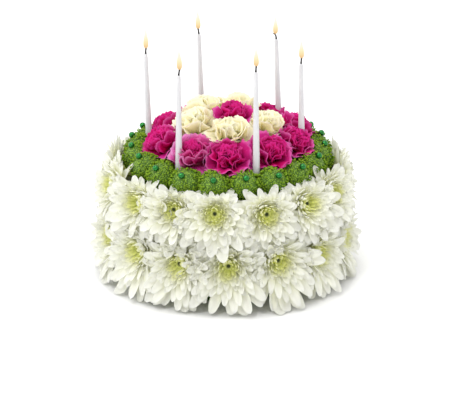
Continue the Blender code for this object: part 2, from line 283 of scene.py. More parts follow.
mumPetals = [
    # curl: how the petal bends up (+) or back (-) from root to tip, in degrees
    {"name": "a", "width": 0.36, "rootCurl": -20, "tipCurl": 60, "cup": 0.70, "wave": 0.00},
    {"name": "b", "width": 0.33, "rootCurl": -18, "tipCurl": 70, "cup": 0.60, "wave": 0.01},
    {"name": "c", "width": 0.29, "rootCurl": -8, "tipCurl": 48, "cup": 0.46, "wave": 0.01},
    {"name": "d", "width": 0.27, "rootCurl": 6, "tipCurl": 12, "cup": 0.34, "wave": 0.015},
    {"name": "e", "width": 0.265, "rootCurl": 14, "tipCurl": -24, "cup": 0.26, "wave": 0.02},
    {"name": "f", "width": 0.275, "rootCurl": 10, "tipCurl": -8, "cup": 0.30, "wave": 0.025},
]
carnationPetals = [
    {"name": "a", "spread": 38, "ruffle": 0.150, "folds": 2.2, "phase": 0.3, "curl": 26, "teeth": 0.030},
    {"name": "b", "spread": 46, "ruffle": 0.135, "folds": 2.6, "phase": 1.9, "curl": 30, "teeth": 0.035},
    {"name": "c", "spread": 54, "ruffle": 0.110, "folds": 2.3, "phase": 3.1, "curl": 10, "teeth": 0.035},
    {"name": "d", "spread": 60, "ruffle": 0.105, "folds": 2.9, "phase": 4.4, "curl": -12, "teeth": 0.045},
    {"name": "e", "spread": 64, "ruffle": 0.095, "folds": 3.4, "phase": 5.3, "curl": -26, "teeth": 0.045},
]

# the cream ones are older blooms: fewer, softer folds and a smoother rim
creamPetals = {"ruffle": 0.070, "folds": 1.8, "teeth": 0.020}


def mumPetal(look):
    # a long channelled petal of unit length, along +Y, its face up, rounded at the tip
    shares = (0.0, 0.10, 0.26, 0.44, 0.60, 0.75, 0.87, 0.955, 1.0)
    draw = random.Random(look["name"])
    acrossTop = (-1.0, -0.55, 0.0, 0.55, 1.0)
    rings = []
    y, z = 0.0, 0.0
    for row, t in enumerate(shares):
        slope = math.radians(look["rootCurl"] + look["tipCurl"] * t ** 1.6)
        if row:
            y += math.cos(slope) * (t - shares[row - 1])
            z += math.sin(slope) * (t - shares[row - 1])
        swell = 0.34 + 0.66 * math.sin(min(1.0, t / 0.62) * math.pi / 2)
        if t > 0.62:
            swell *= math.sqrt(max(0.0, 1 - ((t - 0.62) / 0.383) ** 1.9))
        half = look["width"] / 2 * swell
        thick = 0.010 + 0.012 * (1 - t)
        up = Vector((0, -math.sin(slope), math.cos(slope)))
        here = Vector((0, y, z))
        ripple = look["wave"] * math.sin(5 * t + draw.uniform(0, 1))
        points = []
        for s in acrossTop:
            lift = look["cup"] * half * (s * s - 0.25) - 0.05 * half * math.cos(2 * math.pi * s) + ripple
            points.append(here + Vector((s * half, 0, 0)) + up * lift)
        points.append(here + up * (-look["cup"] * half * 0.25 - thick + ripple))
        uvs = [0.0, 0.22, 0.5, 0.78, 1.0, 0.5]
        if row == 0 or t == 1.0:
            rings.append(([here + up * ripple], uvs))
        else:
            rings.append((points, uvs))
    return meshFromGrid("mumPetal_" + look["name"], rings, sharp=(0, 4))


def carnationPetal(look):
    # a fan with a narrow claw at its root, a ruffled blade and a toothed rim
    columns, rows = 17, 7
    top, low = [], []
    draw = random.Random(look["name"])
    teeth = [draw.uniform(0.6, 1.3) * (1 if c % 2 else -1) for c in range(columns)]
    for row in range(rows):
        t = (row + 1) / rows
        slope = math.radians(look["curl"]) * t
        for c in range(columns):
            s = 2 * c / (columns - 1) - 1
            fan = math.radians(look["spread"]) * s * min(1.0, 0.25 + 1.1 * t)
            reach = t * (1 - 0.10 * s * s) * (1 + (look["teeth"] * teeth[c] if row == rows - 1 else 0))
            ruffle = look["ruffle"] * t ** 1.7 * math.sin(look["folds"] * math.pi * s + look["phase"])
            ruffle += look["ruffle"] * 0.30 * t ** 2.5 * math.sin(
                2.3 * look["folds"] * math.pi * s + 2 * look["phase"]
            )
            x, along = reach * math.sin(fan), reach * math.cos(fan)
            y, z = along * math.cos(slope), along * math.sin(slope)
            y -= ruffle * math.sin(slope)
            z += ruffle * math.cos(slope)
            top.append(Vector((x, y, z)))
            low.append(Vector((x, y, z)) - Vector((0, -math.sin(slope), math.cos(slope))) * 0.016)
    shape = bmesh.new()
    uvLayer = shape.loops.layers.uv.new("petalMap")
    upper = [shape.verts.new(p) for p in top]
    lower = [shape.verts.new(p) for p in low]
    uvOf = {}
    for sheet in (upper, lower):
        for i, v in enumerate(sheet):
            uvOf[v] = ((i % columns) / (columns - 1), (i // columns + 1) / rows)

    def face(corners):
        made = shape.faces.new(corners)
        made.smooth = True
        for loop in made.loops:
            loop[uvLayer].uv = uvOf[loop.vert]

    for row in range(rows - 1):
        for c in range(columns - 1):
            i = row * columns + c
            face([upper[i], upper[i + 1], upper[i + 1 + columns], upper[i + columns]])
            face([lower[i + columns], lower[i + 1 + columns], lower[i + 1], lower[i]])
    last = (rows - 1) * columns
    for c in range(columns - 1):
        face([lower[c], lower[c + 1], upper[c + 1], upper[c]])
        face([upper[last + c], upper[last + c + 1], lower[last + c + 1], lower[last + c]])
    for row in range(rows - 1):
        i = row * columns
        j = i + columns - 1
        face([lower[i], upper[i], upper[i + columns], lower[i + columns]])
        face([upper[j], lower[j], lower[j + columns], upper[j + columns]])
    for edge in shape.edges:
        # the rim of either sheet is crisp, the thin side between them is not
        sheets = {v in upper for v in edge.verts}
        if len(edge.link_faces) == 2 and edge.calc_face_angle(0) > 1.0 and len(sheets) == 1:
            edge.smooth = False
    return meshOf(shape, "carnationPetal_" + look["name"])


def floret(name, lean):
    # one tiny tube floret of a pom: its root inside the ball, flared and hollow at the tip
    rings = []
    for t, half, lift in ((0.72, 0.0, 0.0), (0.88, 0.030, 0.3), (0.985, 0.050, 1.0), (0.950, 0.0, 1.0)):
        here = Vector((0, t, lean * lift))
        corners = [Vector((half, 0, 0)), Vector((0, 0, half)), Vector((-half, 0, 0)), Vector((0, 0, -half))]
        rings.append(([here] if half == 0 else [here + c for c in corners], [0.0, 0.33, 0.66, 1.0]))
    return meshFromGrid("floret_" + name, rings)


def petalCollection(name, meshes):
    # the variants that a flower head picks from, innermost first
    group = bpy.data.collections.new(name)
    for i, mesh in enumerate(meshes):
        group.objects.link(bpy.data.objects.new(f"{name}_{i}", mesh))
    return group


def flowerHeadTree():
    # petals in a spiral, shut in the middle and open at the rim
    tree = bpy.data.node_groups.new("flowerHead", "GeometryNodeTree")
    tree.interface.new_socket("Geometry", in_out="OUTPUT", socket_type="NodeSocketGeometry")
    wobbleLabels = ("Rise Wobble", "Turn Wobble", "Roll Wobble", "Size Wobble", "Kind Wobble")
    numberLabels = (
        "Inner Root Radius", "Outer Root Radius", "Root Height", "Root Drop",
        "Inner Rise", "Outer Rise", "Opening Power",
        "Inner Length", "Outer Length", "Length Power", "Inner Width", "Outer Width", *wobbleLabels,
    )
    sockets = {
        "Petals": "Collection", "Heart": "Object", "Petal Count": "Int", "Petal Kinds": "Int",
        **{label: "Float" for label in numberLabels},
        "Seed": "Int", "Petal Material": "Material", "Heart Material": "Material",
    }
    for label, kind in sockets.items():
        tree.interface.new_socket(label, in_out="INPUT", socket_type="NodeSocket" + kind)
    given = addNode(tree, "NodeGroupInput").outputs

    index = addNode(tree, "GeometryNodeInputIndex")
    lastOne = addNode(tree, "ShaderNodeMath", {0: given["Petal Count"], 1: 1.0}, operation="SUBTRACT")
    share = addNode(tree, "ShaderNodeMath", {0: index, 1: lastOne}, operation="DIVIDE")
    rootShare = addNode(tree, "ShaderNodeMath", {0: share}, operation="SQRT")
    openShare = addNode(tree, "ShaderNodeMath", {0: share, 1: given["Opening Power"]}, operation="POWER")
    longShare = addNode(tree, "ShaderNodeMath", {0: share, 1: given["Length Power"]}, operation="POWER")

    wobbles = {}
    for number, label in enumerate(wobbleLabels):
        seed = addNode(tree, "ShaderNodeMath", {0: given["Seed"], 1: 1000.0 * number}, operation="ADD")
        low = addNode(tree, "ShaderNodeMath", {0: given[label], 1: -1.0}, operation="MULTIPLY")
        drawn = addNode(
            tree, "FunctionNodeRandomValue", {2: low, 3: given[label], "Seed": seed}, data_type="FLOAT"
        )
        wobbles[label] = drawn.outputs[1]

    goldenTurn = math.radians(137.508)
    spiral = addNode(tree, "ShaderNodeMath", {0: index, 1: goldenTurn}, operation="MULTIPLY")
    turn = addNode(tree, "ShaderNodeMath", {0: spiral, 1: wobbles["Turn Wobble"]}, operation="ADD")
    cosine = addNode(tree, "ShaderNodeMath", {0: turn}, operation="COSINE")
    sine = addNode(tree, "ShaderNodeMath", {0: turn}, operation="SINE")
    rootRadius = addNode(tree, "ShaderNodeMapRange", {
        "Value": rootShare, 3: given["Inner Root Radius"], 4: given["Outer Root Radius"],
    })
    rootX = addNode(tree, "ShaderNodeMath", {0: rootRadius, 1: cosine}, operation="MULTIPLY")
    rootY = addNode(tree, "ShaderNodeMath", {0: rootRadius, 1: sine}, operation="MULTIPLY")
    drop = addNode(tree, "ShaderNodeMath", {0: share, 1: given["Root Drop"]}, operation="MULTIPLY")
    rootZ = addNode(tree, "ShaderNodeMath", {0: given["Root Height"], 1: drop}, operation="SUBTRACT")
    root = addNode(tree, "ShaderNodeCombineXYZ", {0: rootX, 1: rootY, 2: rootZ})
    points = addNode(tree, "GeometryNodePoints", {"Count": given["Petal Count"], "Position": root})

    rise = addNode(
        tree, "ShaderNodeMapRange",
        {"Value": openShare, 3: given["Inner Rise"], 4: given["Outer Rise"]}, clamp=False,
    )
    riseNow = addNode(tree, "ShaderNodeMath", {0: rise, 1: wobbles["Rise Wobble"]}, operation="ADD")
    heading = addNode(tree, "ShaderNodeMath", {0: turn, 1: math.pi / 2}, operation="SUBTRACT")
    angles = addNode(tree, "ShaderNodeCombineXYZ", {0: riseNow, 1: wobbles["Roll Wobble"], 2: heading})
    rotation = addNode(tree, "FunctionNodeEulerToRotation", {0: angles})

    length = addNode(
        tree, "ShaderNodeMapRange", {"Value": longShare, 3: given["Inner Length"], 4: given["Outer Length"]}
    )
    oneMore = addNode(tree, "ShaderNodeMath", {0: wobbles["Size Wobble"], 1: 1.0}, operation="ADD")
    lengthNow = addNode(tree, "ShaderNodeMath", {0: length, 1: oneMore}, operation="MULTIPLY")
    width = addNode(
        tree, "ShaderNodeMapRange", {"Value": longShare, 3: given["Inner Width"], 4: given["Outer Width"]}
    )
    widthNow = addNode(tree, "ShaderNodeMath", {0: lengthNow, 1: width}, operation="MULTIPLY")
    size = addNode(tree, "ShaderNodeCombineXYZ", {0: widthNow, 1: lengthNow, 2: lengthNow})

    lastKind = addNode(tree, "ShaderNodeMath", {0: given["Petal Kinds"], 1: 1.0}, operation="SUBTRACT")
    kindShare = addNode(
        tree, "ShaderNodeMath", {0: share, 1: lastKind, 2: wobbles["Kind Wobble"]}, operation="MULTIPLY_ADD"
    )
    kindHigh = addNode(tree, "ShaderNodeMath", {0: kindShare, 1: lastKind}, operation="MINIMUM")
    kindLow = addNode(tree, "ShaderNodeMath", {0: kindHigh, 1: 0.0}, operation="MAXIMUM")
    kind = addNode(tree, "ShaderNodeMath", {0: kindLow}, operation="ROUND")

    petals = addNode(tree, "GeometryNodeCollectionInfo", {
        "Collection": given["Petals"], "Separate Children": True, "Reset Children": True,
    })
    placed = addNode(tree, "GeometryNodeInstanceOnPoints", {
        "Points": points, "Instance": petals, "Pick Instance": True, "Instance Index": kind,
        "Rotation": rotation, "Scale": size,
    })
    aged = addNode(
        tree, "GeometryNodeStoreNamedAttribute",
        {"Geometry": placed, "Name": "age", "Value": share}, data_type="FLOAT", domain="INSTANCE",
    )
    tintSeed = addNode(tree, "ShaderNodeMath", {0: given["Seed"], 1: 7000.0}, operation="ADD")
    tint = addNode(
        tree, "FunctionNodeRandomValue", {2: 0.0, 3: 1.0, "Seed": tintSeed}, data_type="FLOAT"
    ).outputs[1]
    tinted = addNode(
        tree, "GeometryNodeStoreNamedAttribute",
        {"Geometry": aged, "Name": "tint", "Value": tint}, data_type="FLOAT", domain="INSTANCE",
    )
    heart = addNode(tree, "GeometryNodeObjectInfo", {"Object": given["Heart"]}).outputs["Geometry"]
    joined = addNode(tree, "GeometryNodeJoinGeometry", {0: heart})
    fillInputs(tree, joined, {0: tinted})
    realized = addNode(tree, "GeometryNodeRealizeInstances", {0: joined})
    heartTone = addNode(tree, "GeometryNodeInputNamedAttribute", {"Name": "heart"}, data_type="FLOAT")
    isHeart = addNode(
        tree, "FunctionNodeCompare", {0: heartTone, 1: 0.05}, data_type="FLOAT", operation="GREATER_THAN"
    )
    dressed = addNode(
        tree, "GeometryNodeSetMaterial", {"Geometry": realized, "Material": given["Petal Material"]}
    )
    done = addNode(tree, "GeometryNodeSetMaterial", {
        "Geometry": dressed, "Selection": isHeart, "Material": given["Heart Material"],
    })
    addNode(tree, "NodeGroupOutput", {0: done})
    return tree


def growHead(tree, inputs, seed):
    # one flower head as a plain mesh
    carrier = addObject("carrier", bpy.data.meshes.new("carrier"))
    maker = carrier.modifiers.new("head", "NODES")
    maker.node_group = tree
    sockets = {s.name: s.identifier for s in tree.interface.items_tree if s.in_out == "INPUT"}
    for label, value in {**inputs, "Seed": seed}.items():
        maker[sockets[label]] = value
    bpy.context.view_layer.update()
    graph = bpy.context.evaluated_depsgraph_get()
    mesh = bpy.data.meshes.new_from_object(carrier.evaluated_get(graph), depsgraph=graph)
    bpy.data.objects.remove(carrier)
    return mesh


def readPoints(mesh):
    flat = np.empty(len(mesh.vertices) * 3, dtype=np.float32)
    mesh.vertices.foreach_get("co", flat)
    return flat.reshape(-1, 3).astype(float)


def writePoints(mesh, points):
    mesh.vertices.foreach_set("co", points.astype(np.float32).ravel())
    mesh.update()


def easeApart(points, spot, axis):
    # petals that pass into a neighbour's room: those of the upper flower ride over, the others tuck under
    for other in spots:
        apart = other["middle"] - spot["middle"]
        span = apart.length
        if span < 1e-6 or span > spot["reach"] + other["reach"]:
            continue
        normal = np.array(apart / span)
        offset = normal @ np.array(spot["middle"]) + span * spot["reach"] / (spot["reach"] + other["reach"])
        excess = np.clip(points @ normal - offset, 0, None)
        over = spot["rank"] > other["rank"]
        give, lift = fits[spot["kind"]]["over" if over else "under"]
        points -= np.outer(excess * give, normal)
        points += np.outer(excess * lift, np.array(axis))
    return points


def clearCandles(points, spot):
    # petals bend aside where a candle stands, and leave it open towards the rim on their own flower's side
    keep, reach = 0.0044, 0.0095
    for candle in candles:
        foot = np.array(candlePoint(candle, candleFoot))
        slope = math.tan(math.radians(candle["lean"]))
        flat = points[:, :2] - foot[:2]
        flat[:, 0] -= slope * (points[:, 2] - candleFoot)
        high = points[:, 2] > 0.1
        far = np.maximum(np.linalg.norm(flat, axis=1), 1e-6)
        near = (far < reach) & high
        moved = keep + (reach - keep) * far[near] / reach
        points[near, :2] += flat[near] * (moved / far[near] - 1)[:, None]
        if spot["kind"] != "pink" or candle["parted"] == 0:
            continue
        out = np.array(outward(candle["angle"]))[:2]
        side = np.array((-out[1], out[0]))
        side *= math.copysign(1, (np.array(spot["middle"])[:2] - foot[:2]) @ side)
        flat = points[:, :2] - foot[:2]
        beside = flat @ side
        along = flat @ out
        taken = high & (beside < reach) & (along > 0) & (along < candle["parted"])
        fresh = keep + (reach - keep) * np.exp((beside[taken] - reach) / (reach - keep))
        points[taken, :2] += np.outer(fresh - beside[taken], side)
    return points


def petalMaterial(name, look):
    # a living petal: soft matt skin, light passes through, veins run from root to tip
    made, tree, shader = newMaterial(name)
    age = addNode(tree, "ShaderNodeAttribute", attribute_name="age").outputs["Fac"]
    tint = addNode(tree, "ShaderNodeAttribute", attribute_name="tint").outputs["Fac"]
    uv = addNode(tree, "ShaderNodeUVMap", uv_map="petalMap")
    along = addNode(tree, "ShaderNodeSeparateXYZ", {0: uv}).outputs[1]
    place = addNode(tree, "ShaderNodeTexCoord").outputs["Object"]

    # colour runs from root to tip, and the inner petals take a ramp of their own; where a look makes roots
    # and inner petals darker, that is partly the flower's own colour and partly painted shade deep in the
    # head
    alongRamp = addNode(tree, "ShaderNodeValToRGB", {0: along})
    fillRamp(alongRamp, look["alongPetal"])
    innerRamp = addNode(tree, "ShaderNodeValToRGB", {0: along})
    fillRamp(innerRamp, look["innerPetal"])
    ageShare = addNode(
        tree, "ShaderNodeMapRange", {"Value": age, 1: look["innerEnds"][0], 2: look["innerEnds"][1]}
    )
    blend = addNode(
        tree, "ShaderNodeMix", {0: ageShare, 6: innerRamp, 7: alongRamp}, data_type="RGBA"
    ).outputs[2]

    # veins about 0.5 mm apart across the petal, drawn out along it
    stretch = addNode(tree, "ShaderNodeMapping", {"Vector": uv, "Scale": (look["veins"], 1.2, 1.0)})
    veins = addNode(tree, "ShaderNodeTexNoise", {"Vector": stretch, "Scale": 1.0, "Detail": 2.0})
    veinShade = addNode(
        tree, "ShaderNodeMapRange", {"Value": veins, 1: 0.3, 2: 0.7, 3: 1 - look["veinDepth"], 4: 1.0}
    )
    # blotches about 6 mm wide, and each petal a little lighter or darker
    blotch = addNode(tree, "ShaderNodeTexNoise", {"Vector": place, "Scale": 160.0, "Detail": 2.0})
    blotchShade = addNode(
        tree, "ShaderNodeMapRange", {"Value": blotch, 1: 0.3, 2: 0.7, 3: 1 - look["blotchDepth"], 4: 1.0}
    )
    tintShade = addNode(tree, "ShaderNodeMapRange", {"Value": tint, 3: 1 - look["tintDepth"], 4: 1.0})
    shade = addNode(tree, "ShaderNodeMath", {0: veinShade, 1: blotchShade}, operation="MULTIPLY")
    shadeAll = addNode(tree, "ShaderNodeMath", {0: shade, 1: tintShade}, operation="MULTIPLY")
    darkened = addNode(
        tree, "ShaderNodeMix", {0: shadeAll, 6: linear(look["shade"]), 7: blend}, data_type="RGBA"
    ).outputs[2]
    bump = addNode(tree, "ShaderNodeBump", {"Height": veins, "Strength": look["bump"], "Distance": 0.0004})
    fillInputs(tree, shader, {
        "Base Color": darkened,
        "Normal": bump,
        "Roughness": look["roughness"],
        "Specular IOR Level": look["specular"],
    })
    # the share of the light that comes through the petal from its far side
    through = addNode(tree, "ShaderNodeBsdfTranslucent", {"Color": darkened, "Normal": bump})
    both = addNode(tree, "ShaderNodeMixShader", {0: look["through"], 1: shader, 2: through})
    fillInputs(tree, tree.nodes["Material Output"], {"Surface": both})
    return made


whiteLook = {
    "alongPetal": [(0.0, "#F9FBC0"), (1.0, "#EFEFEE"), (0.25, "#FCFCE6"), (0.60, "#F7F7F0")],
    "innerPetal": [(0.0, "#DAE070"), (1.0, "#F9F9E2"), (0.38, "#F2F4A8"), (0.70, "#F8F8CA")],
    "innerEnds": (0.06, 0.34),
    "shade": "#EEF0DC", "veins": 9.0, "veinDepth": 0.12, "blotchDepth": 0.04, "tintDepth": 0.06,
    "bump": 0.25, "roughness": 0.6, "specular": 0.15, "through": 0.45,
}
# the darker crimson at the roots and on the inner petals is partly the bloom's own colour and partly painted
# shade deep in the bloom
pinkLook = {
    "alongPetal": [(0.0, "#B0024A"), (1.0, "#EE9AE0"), (0.45, "#D81294"), (0.84, "#DE46BA")],
    "innerPetal": [(0.0, "#98001C"), (1.0, "#E4349A"), (0.45, "#BE004A"), (0.84, "#D4046C")],
    "innerEnds": (0.50, 0.88),
    "shade": "#A8022C", "veins": 22.0, "veinDepth": 0.26, "blotchDepth": 0.12, "tintDepth": 0.16,
    "bump": 0.3, "roughness": 0.7, "specular": 0.05, "through": 0.2,
}
# the bloom at the front left has its outer petals painted lighter: painted light, as from the key lamp on the
# left
paintedLitPinkLook = {
    **pinkLook,
    "alongPetal": [(0.0, "#BC2068"), (1.0, "#F2AEE4"), (0.45, "#DE46A8"), (0.84, "#E470C4")],
    "innerEnds": (0.40, 0.80),
}
creamLook = {
    "alongPetal": [(0.0, "#FEFBDC"), (1.0, "#FEFBF2"), (0.45, "#FEFBE6"), (0.84, "#FEFBEC")],
    "innerPetal": [(0.0, "#FEF9CE"), (1.0, "#FEFBEC"), (0.45, "#FEFAD8"), (0.84, "#FEFBE2")],
    "innerEnds": (0.4, 0.95),
    "shade": "#FCF8CC", "veins": 22.0, "veinDepth": 0.12, "blotchDepth": 0.04, "tintDepth": 0.06,
    "bump": 0.3, "roughness": 0.6, "specular": 0.1, "through": 0.45,
}
greenLook = {
    "alongPetal": [(0.0, "#3C5E06"), (1.0, "#74981C"), (0.34, "#5C860C"), (0.66, "#9CC030")],
    "innerPetal": [(0.0, "#3C5E06"), (1.0, "#7CA020"), (0.34, "#628E0E"), (0.66, "#A6C838")],
    "innerEnds": (0.1, 0.5),
    "shade": "#56800E", "veins": 6.0, "veinDepth": 0.12, "blotchDepth": 0.18, "tintDepth": 0.35,
    "bump": 0.2, "roughness": 0.7, "specular": 0.2, "through": 0.25,
}
mumPetalSkin = petalMaterial("mum petal, ivory white", whiteLook)
pinkPetalSkin = petalMaterial("carnation petal, magenta", pinkLook)
# the pink whose outer petals carry painted light
paintedLitPinkPetalSkin = petalMaterial("carnation petal, magenta with painted light", paintedLitPinkLook)
creamPetalSkin = petalMaterial("carnation petal, cream", creamLook)
pomFloretSkin = petalMaterial("button pom floret, green", greenLook)


def heartMaterial(name, pale, dark):
    # what shows between the roots of the petals: a mum's waxy green eye with its pit near black, partly its
    # own dark green and partly painted shade down in the pit, or the tightly packed inner petals of a
    # carnation
    made, tree, shader = newMaterial(name)
    tone = addNode(tree, "ShaderNodeAttribute", attribute_name="heart").outputs["Fac"]
    ramp = addNode(tree, "ShaderNodeValToRGB", {0: tone})
    fillRamp(ramp, [(0.25, pale), (0.9, dark)])
    place = addNode(tree, "ShaderNodeTexCoord").outputs["Object"]
    grain = addNode(tree, "ShaderNodeTexNoise", {"Vector": place, "Scale": 700.0, "Detail": 3.0})
    mixed = addNode(
        tree, "ShaderNodeMix", {0: 0.5, 6: ramp, 7: grain}, data_type="RGBA", blend_type="MULTIPLY"
    )
    bump = addNode(tree, "ShaderNodeBump", {"Height": grain, "Strength": 0.5, "Distance": 0.0004})
    fillInputs(tree, shader, {"Base Color": mixed.outputs[2], "Normal": bump, "Roughness": 0.5})
    return made


def pomCoreMaterial():
    # the inner florets of a pom, seen between the outer ones:
    # small pale tips 1.3 mm apart, the dark green gaps between them painted shade down among the packed
    # florets
    made, tree, shader = newMaterial("button pom core, packed florets")
    place = addNode(tree, "ShaderNodeTexCoord").outputs["Object"]
    cells = addNode(tree, "ShaderNodeTexVoronoi", {"Vector": place, "Scale": 750.0})
    ramp = addNode(tree, "ShaderNodeValToRGB", {0: cells})
    fillRamp(ramp, [(0.05, "#A4CC40"), (0.55, "#42640A")])
    bump = addNode(
        tree, "ShaderNodeBump", {"Height": cells, "Strength": 0.8, "Distance": 0.0012}, invert=True
    )
    fillInputs(tree, shader, {"Base Color": ramp, "Normal": bump, "Roughness": 0.7})
    return made


pinkHeartSkin = heartMaterial("carnation heart, packed magenta petals", "#B00A48", "#5A0420")
creamHeartSkin = heartMaterial("carnation heart, packed cream petals", "#F4ECC0", "#C8B878")
mumHeartSkin = heartMaterial("mum heart, yellow green", "#ECF08C", "#2E3C10")
pomCoreSkin = pomCoreMaterial()
print("materials made")


headTree = flowerHeadTree()
sources = {
    "mum": petalCollection("mumPetals", [mumPetal(look) for look in mumPetals]),
    "carnation": petalCollection("carnationPetals", [carnationPetal(look) for look in carnationPetals]),
    "cream": petalCollection(
        "creamPetals", [carnationPetal({**look, **creamPetals}) for look in carnationPetals]
    ),
    "pom": petalCollection("pomFlorets", [floret("a", -0.05), floret("b", -0.09), floret("c", -0.13)]),
}
pomCore = {"radius": 0.0148, "rows": 8, "sides": 16, "tone": 0.75}
pomProfile = ballProfile(pomCore["radius"], pomCore["rows"], pomCore["rows"] - 1) + [(0, -pomCore["radius"])]
hearts = {
    # the top rows of the mum's heart take the darkest tones: partly its own dark green, partly painted shade
    # in its pit
    "mum": turnedMesh(
        "mumHeart",
        (
            (0, 0.0235), (0.0010, 0.0237), (0.0018, 0.0248), (0.0030, 0.0254), (0.0062, 0.0228),
            (0.0072, 0.0180), (0.0060, 0.0110), (0.0024, 0.0040), (0.0022, -0.0010), (0, -0.0010),
        ),
        14, (1.0, 1.0, 0.7, 0.3, 0.1, 0.1, 0.1, 0.1, 0.1, 0.1),
    ),
    "carnation": turnedMesh(
        "carnationHeart",
        ((0, 0.0100), (0.0050, 0.0095), (0.0075, 0.0070), (0.0070, 0.0025), (0.0045, -0.0008), (0, -0.0010)),
        14, (0.3, 0.3, 0.25, 0.25, 0.25, 0.25),
    ),
    "pom": turnedMesh("pomHeart", pomProfile, pomCore["sides"], [pomCore["tone"]] * len(pomProfile)),
}
heartObjects = {key: bpy.data.objects.new(key + "Heart", mesh) for key, mesh in hearts.items()}

mumHead = {
    "Petals": sources["mum"], "Heart": heartObjects["mum"], "Petal Count": 136, "Petal Kinds": len(mumPetals),
    "Inner Root Radius": 0.0022, "Outer Root Radius": 0.0072, "Root Height": 0.0243, "Root Drop": 0.0075,
    "Inner Rise": math.radians(66), "Outer Rise": math.radians(2), "Opening Power": 0.90,
    "Inner Length": 0.0078, "Outer Length": 0.0370, "Length Power": 1.15,
    "Inner Width": 0.95, "Outer Width": 1.0,
    "Rise Wobble": math.radians(6), "Turn Wobble": 0.10, "Roll Wobble": math.radians(10), "Size Wobble": 0.12,
    "Kind Wobble": 0.6, "Petal Material": mumPetalSkin, "Heart Material": mumHeartSkin,
}
upperMumHead = {**mumHead, "Petal Count": 118, "Outer Width": 1.22}
carnationHead = {
    "Petals": sources["carnation"], "Heart": heartObjects["carnation"],
    "Petal Count": 30, "Petal Kinds": len(carnationPetals),
    "Inner Root Radius": 0.0010, "Outer Root Radius": 0.0050, "Root Height": 0.0085, "Root Drop": 0.0020,
    "Inner Rise": math.radians(86), "Outer Rise": math.radians(5), "Opening Power": 2.0,
    "Inner Length": 0.0205, "Outer Length": 0.0238, "Length Power": 1.5,
    "Inner Width": 0.85, "Outer Width": 1.0,
    "Rise Wobble": math.radians(6), "Turn Wobble": 0.15, "Roll Wobble": math.radians(12), "Size Wobble": 0.07,
    "Kind Wobble": 0.7, "Petal Material": pinkPetalSkin, "Heart Material": pinkHeartSkin,
}
pomHead = {
    "Petals": sources["pom"], "Heart": heartObjects["pom"], "Petal Count": 780, "Petal Kinds": 3,
    "Inner Root Radius": 0.0, "Outer Root Radius": 0.0, "Root Height": 0.0, "Root Drop": 0.0,
    "Inner Rise": math.radians(90), "Outer Rise": math.radians(-50), "Opening Power": 0.52,
    "Inner Length": 0.0170, "Outer Length": 0.0170, "Length Power": 1.0,
    "Inner Width": 1.0, "Outer Width": 1.0,
    "Rise Wobble": math.radians(7), "Turn Wobble": 0.12, "Roll Wobble": math.radians(70), "Size Wobble": 0.07,
    "Kind Wobble": 1.5, "Petal Material": pomFloretSkin, "Heart Material": pomCoreSkin,
}


spots = []


def addSpot(kind, own, node, place, head, number=0, order=0.0, size=1.0):
    # own: the row of room that this head takes; order settles which of two heads of one kind lies on top
    middle = place @ Vector((0, 0, own["tall"] * size * widestAt))
    spots.append({
        "kind": kind, "node": node, "place": place, "middle": middle, "reach": own["reach"] * size,
        "head": head, "seed": own["seed"] + number, "rank": own["rank"] + order,
    })


for i, angle in enumerate(rowAngles(layout["lowerMums"]), 1):
    place = facingFront(seatFrame(angle, layout["lowerMums"]), angle)
    addSpot("lowerMum", room["lowerMum"], f"mum_lower_{i:02d}", place, mumHead, i, (i * 7 % 15) / 20)
for i, angle in enumerate(rowAngles(layout["upperMums"]), 1):
    angle += layout["upperNudges"].get(i, 0.0)
    place = facingFront(seatFrame(angle, layout["upperMums"]), angle)
    addSpot("upperMum", room["upperMum"], f"mum_upper_{i:02d}", place, upperMumHead, i, (i * 4 % 15) / 20)
# a copy of the pink head with painted light on its outer petals, for the bloom at the front left
paintedLitPinkHead = {**carnationHead, "Petal Material": paintedLitPinkPetalSkin}
for i, angle in enumerate(rowAngles(layout["pinks"]), 1):
    place = seatFrame(awayFromCandles(angle), layout["pinks"])
    place.translation.x += layout["pinks"]["shift"] * (1 - math.cos(math.radians(angle))) / 2
    head = paintedLitPinkHead if i == layout["paintedLitPink"] else carnationHead
    addSpot("pink", room["pink"], f"carnation_pink_{i:02d}", place, head, i, (i * 3 % 10) / 20)
crownHead = {**carnationHead, "Inner Length": 0.0185, "Outer Length": 0.0215}
crownPlace = seatFrame(0.0, layout["crown"]) @ Matrix.Rotation(math.radians(layout["crown"]["nod"]), 4, "X")
crownPlace.translation.x += layout["crown"]["shift"]
addSpot("pink", room["crown"], "carnation_pink_centre", crownPlace, crownHead)
creamHead = {
    **carnationHead, "Petal Material": creamPetalSkin, "Heart Material": creamHeartSkin,
    "Petals": sources["cream"], "Outer Rise": math.radians(4),
}
for i, (angle, size) in enumerate(zip(layout["creamAngles"], layout["creamSizes"]), 1):
    place = seatFrame(angle, layout["creams"])
    place.translation += Vector((layout["creamShifts"][i - 1], 0, layout["creamLifts"][i - 1]))
    head = {**creamHead, "Inner Length": 0.0205 * size, "Outer Length": 0.0235 * size}
    addSpot("cream", room["cream"], f"carnation_cream_{i}", place, head, i, i / 20, size)
for i, angle in enumerate(rowAngles(layout["poms"])):
    place = seatFrame(angle, layout["poms"])
    place.translation = place @ Vector((0, 0, layout["poms"]["ballHeight"]))
    towardsBack = min(1.0, 1 - math.cos(math.radians(angle)))
    place.translation += Vector((layout["poms"]["shift"], 0, layout["poms"]["lift"])) * towardsBack
    arc = i // layout["pomsInAnArc"] + 1
    addSpot("pom", room["pom"], f"pom_arc_{arc}", place, pomHead, i, i / 100)
    spots[-1]["angle"] = angle

